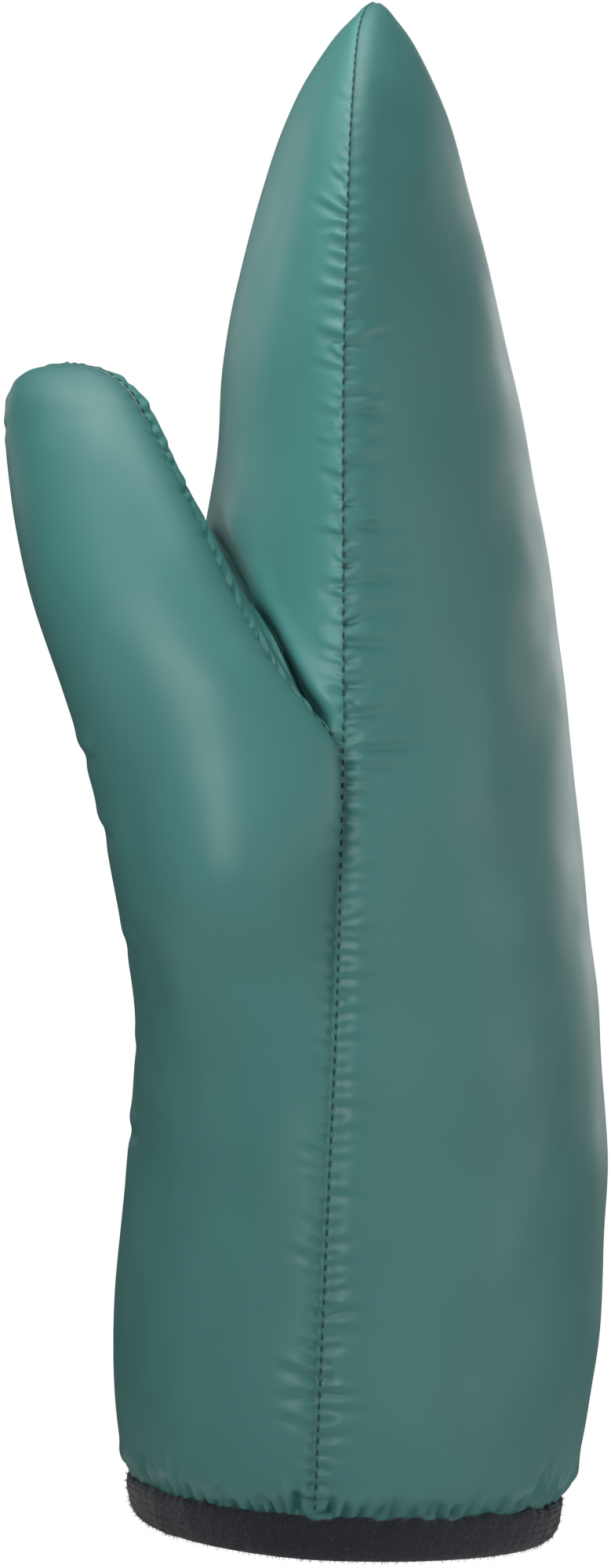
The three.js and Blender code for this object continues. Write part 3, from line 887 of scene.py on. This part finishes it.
def palm_fold_relief(outer, front):
    """The short folds over the line where the palm stands out most, from a little before it."""
    crown = np.take_along_axis(front, outer[..., 0].argmin(axis=1)[:, None], axis=1)
    past_start = front - crown + PALM_FOLD_START
    return crease_relief(outer[..., 2], np.abs(past_start), PALM_FOLDS) * (past_start > 0)


def build_thumb_panel():
    """The panel over the wrist, the heel of the palm and the thumb's outer half."""
    wrist = hand_steps("palm", float(hand_place(BINDING_TAPE)), float(hand_place(JOIN_HEIGHT)))
    mound = mound_steps()[1:]
    alongs = thumb_steps()[1:]
    angles = across_angles(PALM_COLUMNS)
    outer = thumb_panel_surface(wrist, mound, alongs, angles)
    web_row = len(wrist) + len(mound) - 1
    outer = ease_rows(outer, [len(wrist) - 1, web_row], 16)
    front, _ = side_distances(outer)
    climb = arc_lengths(outer[:, :1], 0)
    relief = cloth_relief(outer, SEED + 2, thumb_panel_seams(outer, web_row))
    relief += thumb_fullness(front, climb - float(climb[web_row, 0]))
    relief += palm_fold_relief(outer, front)
    outer = relieved(outer, relief)
    skip = LINING_SKIP
    inner = thumb_panel_surface(
        wrist[::skip], mound[skip - 1 :: skip], alongs[skip - 1 :: skip], angles[::skip], True
    )
    return panel_mesh("thumb_shell", [outer], [inner], single_grid_ids)


def thumb_side_folds(grid, foot):
    """The fold in the finger panel beside the thumb: a deep dip along the thumb's edge as the camera sees
    it, and a soft ridge next to it."""
    alongs = np.linspace(0, 0.8, 120)
    thumb = thumb_inner_surface(alongs, np.linspace(0, 1, 60))
    widest = thumb[..., 0].argmax(axis=1)
    edge = thumb[np.arange(len(alongs)), widest]
    order = edge[:, 2].argsort()
    x_edge = np.interp(grid[..., 2], edge[order, 2], edge[order, 0])
    past = grid[..., 0] - x_edge
    height = grid[..., 2]
    towards_camera = smooth(-grid[..., 1], 8, 32)
    window = smooth(height, *FOLD_START) * (1 - smooth(height, *FOLD_END)) * towards_camera
    deep = FOLD_DIP * (0.6 + 0.4 * (1 - smooth(height, 158, 182)))
    dip = -deep * np.exp(-(((past - 0.1) / FOLD_DIP_WIDTH) ** 2))
    ridge = FOLD_RIDGE * np.exp(-(((past - FOLD_RIDGE_PAST_DIP) / FOLD_RIDGE_WIDTH) ** 2))
    return (dip + ridge) * window * smooth(foot, 0, 3)


def slit_drawn_in(grid):
    """The slit between the thumb and the fingers: its deepest line, the grid's first row, is drawn in
    between them with the cloth beside it."""
    run = arc_lengths(grid[:1], 1)
    depth = SLIT_DEPTH * smooth(run, *SLIT_START) * (1 - smooth(run, *SLIT_END))
    drawn = grid.copy()
    drawn[..., 1] += depth * np.exp(-((arc_lengths(grid, 0) / SLIT_WIDTH) ** 2))
    return drawn


def finger_side(rises, columns, cross):
    """The finger panel's outer face over the fingers."""
    hand = finger_surface(rises, columns, cross)
    front, rear = side_distances(hand)
    foot = arc_lengths(hand, 0)
    past_valley = np.arange(hand.shape[1])[None, :] > VALLEY_COLUMNS
    cross_run = np.where(past_valley, arc_lengths(hand[:1], 1), OUT_OF_REACH)
    seams = [
        (hand[..., 2], front, radial_creases("palm", SEED + 2)),
        (hand[..., 2], rear, radial_creases("palm", SEED + 5)),
        (cross_run, np.where(past_valley, foot, LENGTH), scattered_puckers(SEED + 6, 400, 0.6)),
    ]
    relief = cloth_relief(hand, SEED + 5, seams, cuff=False) + thumb_side_folds(hand, foot)
    return slit_drawn_in(relieved(hand, relief))


def finger_side_of_thumb(alongs, columns):
    """The finger panel's outer face up the thumb."""
    thumb = thumb_inner_surface(alongs, columns)
    front, rear = side_distances(thumb)
    climb = arc_lengths(thumb[:, :1], 0)
    seams = [
        (climb, front, scattered_puckers(SEED + 8, 100, 0.7)),
        (climb, rear, scattered_puckers(SEED + 9, 100, 0.6)),
    ]
    relief = cloth_relief(thumb, SEED + 8, seams, cuff=False)
    return slit_drawn_in(relieved(thumb, relief * smooth(climb, 0, 6)))


def build_finger_panel():
    """The panel over the fingers' palm side and up the thumb's inner half."""
    web = float(hand_place(WEB_HEIGHT))
    rises = (hand_steps("palm", web, 1) - web) / (1 - web)
    alongs = thumb_steps()
    columns = column_shares(VALLEY_COLUMNS)
    k = np.linspace(0, 1, CROSS_COLUMNS + 1)[1:]
    cross = 0.6 * k + 0.4 * np.sin(k * math.pi / 2)
    outer = [finger_side(rises, columns, cross), finger_side_of_thumb(alongs, columns)]
    skip = LINING_SKIP
    few = columns[::skip]
    inner = [
        slit_drawn_in(finger_surface(rises[::skip], few, cross[skip - 1 :: skip], True)),
        slit_drawn_in(thumb_inner_surface(alongs[::skip], few, True)),
    ]
    return panel_mesh("finger_shell", outer, inner, joined_grid_ids)


def principled(name, color, roughness, **sockets):
    """A material and its shader, with further sockets by name."""
    material = bpy.data.materials.new(name)
    material.use_nodes = True
    shader = material.node_tree.nodes["Principled BSDF"]
    shader.inputs["Base Color"].default_value = (*color, 1)
    shader.inputs["Roughness"].default_value = roughness
    for socket, value in sockets.items():
        shader.inputs[socket.replace("_", " ")].default_value = value
    return material, shader


def link_noise(tree, scale, detail):
    """A noise texture over the object, scale in cells to a metre."""
    noise = tree.nodes.new("ShaderNodeTexNoise")
    noise.inputs["Scale"].default_value = scale
    noise.inputs["Detail"].default_value = detail
    place = tree.nodes.new("ShaderNodeTexCoord")
    tree.links.new(place.outputs["Object"], noise.inputs["Vector"])
    return noise


def link_ramp(tree, noise, stops):
    """Colours between the stops, each a share and a colour."""
    ramp = tree.nodes.new("ShaderNodeValToRGB")
    for spot, (share, color) in zip(ramp.color_ramp.elements, stops):
        spot.position = share
        spot.color = (*color, 1)
    tree.links.new(noise.outputs["Fac"], ramp.inputs["Fac"])
    return ramp


def link_bump(tree, shader, noise, height):
    """A relief too fine for the mesh, its height in metres."""
    bump = tree.nodes.new("ShaderNodeBump")
    bump.inputs["Distance"].default_value = height
    tree.links.new(noise.outputs["Fac"], bump.inputs["Height"])
    tree.links.new(bump.outputs["Normal"], shader.inputs["Normal"])


def shaded(color, share):
    """A colour made darker or lighter by a share."""
    return tuple(share * c for c in color)


def nylon_material(name, dye):
    """Satin taffeta: faint cloudy tone, uneven gloss and a very fine weave."""
    material, shader = principled(name, dye, 0.5)
    tree = material.node_tree
    tone = link_ramp(tree, link_noise(tree, 45, 3), [(0.3, shaded(dye, 0.95)), (0.7, shaded(dye, 1.05))])
    tree.links.new(tone.outputs["Color"], shader.inputs["Base Color"])
    gloss = link_ramp(tree, link_noise(tree, 90, 2), [(0.3, (0.47,) * 3), (0.7, (0.54,) * 3)])
    tree.links.new(gloss.outputs["Color"], shader.inputs["Roughness"])
    link_bump(tree, shader, link_noise(tree, 2600, 2), 0.000012)
    return material


def knit_material():
    """Matt knitted tape: near-black navy with fine, paler loops."""
    material, shader = principled("knitted_tape", BINDING_DYE, 0.95, Sheen_Weight=0.12, Sheen_Roughness=0.6)
    tree = material.node_tree
    tone = link_ramp(tree, link_noise(tree, 1500, 4), [(0.55, BINDING_DYE), (0.82, PALE_LOOPS)])
    tree.links.new(tone.outputs["Color"], shader.inputs["Base Color"])
    link_bump(tree, shader, link_noise(tree, 1100, 5), 0.0003)
    return material


def even_turns(side):
    """Angles on one side of the cuff that lie evenly round it."""
    fine = np.linspace(-math.pi / 2, math.pi / 2, 1500)
    line = hand_point(hand_place(BINDING_HEIGHT / 2), fine, side)
    run = arc_lengths(line, 0)
    return np.interp(np.linspace(0, run[-1], BINDING_STEPS // 2 + 1)[:-1], run, fine)


def cuff_ring(heights, offset, inner):
    """Points once round the cuff, at a height for each, moved level out of the panels' face."""
    half = BINDING_STEPS // 2
    places = hand_place(heights)
    palm = hand_point(places[:half], even_turns("palm"), "palm", inner)
    back = hand_point(places[half:], -even_turns("back"), "back", inner)
    ring = np.concatenate([palm, back])
    along = np.roll(ring, -3, axis=0) - np.roll(ring, 3, axis=0)
    out = points(along[:, 1], -along[:, 0], 0)
    out *= np.sign(np.sum(out * (ring - ring.mean(axis=0))))
    return ring + offset * out / np.linalg.norm(out, axis=-1)[:, None]


def build_binding():
    """The knitted tape folded over the cuff's edge, with an uneven top edge and a lumpy face; also its
    grid of points and their directions outward."""
    base = cuff_ring(np.full(BINDING_STEPS, BINDING_HEIGHT / 2), 0, False)
    ragged = soft_waves(base, SEED + 31, TAPE_EDGE_WAVES)
    rows = []
    for height, offset, inner in TAPE_SECTION:
        lift = 0 if inner else smooth(height, 4.5, 8)
        rows.append(cuff_ring(height + ragged * lift, offset, inner))
    grid = np.array(rows)
    shown = np.array([offset > 0.3 or inner for _, offset, inner in TAPE_SECTION])
    lumps = soft_waves(grid, SEED + 32, KNIT_WAVES)
    lumps = np.where(shown[:, None], lumps, 0)
    middle = cuff_ring(np.full(BINDING_STEPS, BINDING_HEIGHT / 2), -RIM_WALL / 2, False)
    outward = grid - middle[None]
    outward /= np.linalg.norm(outward, axis=-1)[..., None]
    grid = grid + outward * lumps[..., None]
    count = len(TAPE_SECTION)
    ids = np.arange(count * BINDING_STEPS).reshape(count, BINDING_STEPS)
    ids = np.concatenate([ids, ids[:1]])
    ids = np.concatenate([ids, ids[:, :1]], axis=1)
    return mesh_object("knitted_binding", grid.reshape(-1, 3), strip_faces(ids)), grid, outward


def build_fibres(grid, outward):
    """Short fibres that stand off the tape, as one mesh of thin three-sided hairs."""
    draw = np.random.default_rng(SEED + 40)
    rows = draw.integers(0, LINT_ROWS, FIBRES)
    columns = draw.integers(0, BINDING_STEPS, FIBRES)
    aim = outward[rows, columns] + draw.normal(0, 0.6, (FIBRES, 3))
    aim /= np.linalg.norm(aim, axis=-1)[:, None]
    side = np.cross(aim, draw.normal(size=(FIBRES, 3)))
    side /= np.linalg.norm(side, axis=-1)[:, None]
    third = np.cross(aim, side)
    length = draw.uniform(0.2, 0.75, FIBRES)[:, None]
    curl = draw.normal(0, 0.35, (FIBRES, 1)) * length
    rings = []
    for share, thick in FIBRE_RINGS:
        middle = grid[rows, columns] + aim * length * share + side * curl * share**2
        for turn in (0, 2 * math.pi / 3, 4 * math.pi / 3):
            rings.append(middle + thick * (side * math.cos(turn) + third * math.sin(turn)))
    corners = np.stack(rings, axis=1).reshape(-1, 3)
    one = [(0, 2, 1), (6, 7, 8)]
    for ring in (0, 3):
        for k in range(3):
            n = (k + 1) % 3
            one.append((ring + k, ring + n, ring + 3 + n, ring + 3 + k))
    faces = [tuple(9 * fibre + v for v in face) for fibre in range(FIBRES) for face in one]
    return mesh_object("binding_lint", corners, faces, smooth_shading=False)


def add_camera():
    """At the photograph's viewing angle: level, seen from the index finger's side."""
    data = bpy.data.cameras.new("camera")
    data.sensor_width = SENSOR
    data.lens = SENSOR * -EYE[1] / VIEW_HEIGHT
    camera = bpy.data.objects.new("camera", data)
    camera.location = EYE
    camera.rotation_euler = (math.pi / 2, 0, 0)
    bpy.context.scene.collection.objects.link(camera)
    bpy.context.scene.camera = camera


def add_area_light(name, place, target, size, power):
    """A round lamp that the camera doesn't see."""
    data = bpy.data.lights.new(name, "AREA")
    data.shape = "DISK"
    data.size = size
    data.energy = power
    light = bpy.data.objects.new(name, data)
    light.location = place
    light.rotation_euler = (Vector(target) - Vector(place)).to_track_quat("-Z", "Y").to_euler()
    light.visible_camera = False
    bpy.context.scene.collection.objects.link(light)


def add_studio():
    """A white backdrop that gives little light itself, and the lamps."""
    world = bpy.data.worlds.new("studio")
    world.use_nodes = True
    tree = world.node_tree
    dim = tree.nodes["Background"]
    dim.inputs["Color"].default_value = (1, 1, 1, 1)
    dim.inputs["Strength"].default_value = SKY_LIGHT
    backdrop = tree.nodes.new("ShaderNodeBackground")
    backdrop.inputs["Color"].default_value = (1, 1, 1, 1)
    rays = tree.nodes.new("ShaderNodeLightPath")
    mix = tree.nodes.new("ShaderNodeMixShader")
    tree.links.new(rays.outputs["Is Camera Ray"], mix.inputs[0])
    tree.links.new(dim.outputs[0], mix.inputs[1])
    tree.links.new(backdrop.outputs[0], mix.inputs[2])
    tree.links.new(mix.outputs[0], tree.nodes["World Output"].inputs[0])
    bpy.context.scene.world = world
    for lamp in LAMPS:
        add_area_light(*lamp)


def add_floor():
    """A plain pale disc under the mitten."""
    bpy.ops.mesh.primitive_circle_add(
        vertices=96, radius=FLOOR_RADIUS, fill_type="NGON", location=(0, 0, FLOOR_HEIGHT)
    )
    floor = bpy.context.object
    floor.name = "floor"
    paper, _ = principled("floor_paper", (0.9, 0.9, 0.9), 0.8)
    floor.data.materials.append(paper)


def seam_line(curve, start, end):
    """Points along a seam, STEPS_TO_A_STITCH to a stitch, and their outward directions. curve gives the
    seam's point and the one across from it."""

    def seam(shares):
        return curve(shares)[0]

    shares = even_steps(seam, start, end, STITCH_PITCH / STEPS_TO_A_STITCH, 1)
    at, across = curve(shares)
    outward = at - across
    return at, outward / np.linalg.norm(outward, axis=-1)[:, None]


def stitch_shapes():
    """One stitch as rings round a low arch, ends sunk into the cloth: along, side, up."""
    rings, sides = 7, 8
    shape = []
    for k in range(rings):
        t = 2 * k / (rings - 1) - 1
        thick = STITCH_RADIUS * math.sqrt(max(1 - t**4, 0.05))
        sink = -0.25 * STITCH_RADIUS * (1 + 3 * t**4)
        for s in range(sides):
            turn = 2 * math.pi * s / sides
            shape.append((t * STITCH_LENGTH / 2, thick * math.cos(turn), sink + thick * math.sin(turn)))
    faces = [
        (k * sides + s, k * sides + (s + 1) % sides, (k + 1) * sides + (s + 1) % sides, (k + 1) * sides + s)
        for k in range(rings - 1)
        for s in range(sides)
    ]
    faces += [tuple(range(sides))[::-1], tuple((rings - 1) * sides + s for s in range(sides))]
    return np.array(shape), faces


def hand_seam(seam, opposite):
    """A seam of the hand as a curve, with the seam across from it."""

    def curve(at):
        section = hand_section(at, "palm")
        return section[seam], section[opposite]

    return curve


def thumb_seam(column):
    """A seam of the thumb as a curve, with the seam across from it; column is 0 or 1."""

    def curve(along):
        across = thumb_inner_point(1 - column + 0 * along, along)
        return thumb_inner_point(column + 0 * along, along), across

    return curve


def build_stitches():
    """Rows of stitches along the seams of the hand and the thumb, as one mesh."""
    low = float(hand_place(BINDING_HEIGHT + 1))
    lines = [
        seam_line(hand_seam("front", "rear"), low, 0.995),
        seam_line(hand_seam("rear", "front"), low, 0.995),
        seam_line(thumb_seam(0), 0.02, 0.985),
        seam_line(thumb_seam(1), 0.02, 0.985),
    ]
    shape, faces = stitch_shapes()
    draw = np.random.default_rng(SEED + 20)
    every = []
    all_faces = []
    for at, outward in lines:
        along = np.gradient(at, axis=0)
        along /= np.linalg.norm(along, axis=-1)[:, None]
        for k in range(STEPS_TO_A_STITCH // 2, len(at) - STEPS_TO_A_STITCH // 2, STEPS_TO_A_STITCH):
            a, n = along[k], outward[k]
            side = np.cross(n, a)
            tilt = draw.uniform(-0.08, 0.08)
            length = draw.uniform(0.92, 1.05)
            x = (a * math.cos(tilt) + side * math.sin(tilt)) * length
            y = side * math.cos(tilt) - a * math.sin(tilt)
            offset = len(every) * len(shape)
            every.append(at[k] + shape[:, :1] * x + shape[:, 1:2] * y + shape[:, 2:] * n)
            all_faces += [tuple(offset + v for v in f) for f in faces]
    return mesh_object("seam_stitches", np.concatenate(every), all_faces)


# The padded panels
back = build_back_panel()
thumb = build_thumb_panel()
finger = build_finger_panel()
stitches = build_stitches()
nylon = nylon_material("satin_nylon", NYLON)
# A lit copy of the same nylon for the finger panel: painted light, not a different cloth
painted_lit_nylon = nylon_material("satin_nylon_painted_light", shaded(NYLON, FINGER_PAINTED_LIGHT))
for piece, node, cloth in (
    (back, "back_panel", nylon),
    (thumb, "thumb_panel", nylon),
    (finger, "finger_panel", painted_lit_nylon),
):
    piece.data.materials.append(cloth)
    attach(piece, "root")
    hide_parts(node)

# Stitches, binding and lint
thread, _ = principled("thread", THREAD, 0.6)
stitches.data.materials.append(thread)
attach(stitches, "root")

binding, tape_grid, tape_out = build_binding()
binding.data.materials.append(knit_material())
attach(binding, "root")
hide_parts("cuff_binding")

lint = build_fibres(tape_grid, tape_out)
fuzz, _ = principled("lint", LINT, 0.95)
lint.data.materials.append(fuzz)
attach(lint, "root")

# Floor, camera and lamps
bpy.context.scene.view_settings.view_transform = "Standard"
add_floor()
add_camera()
add_studio()
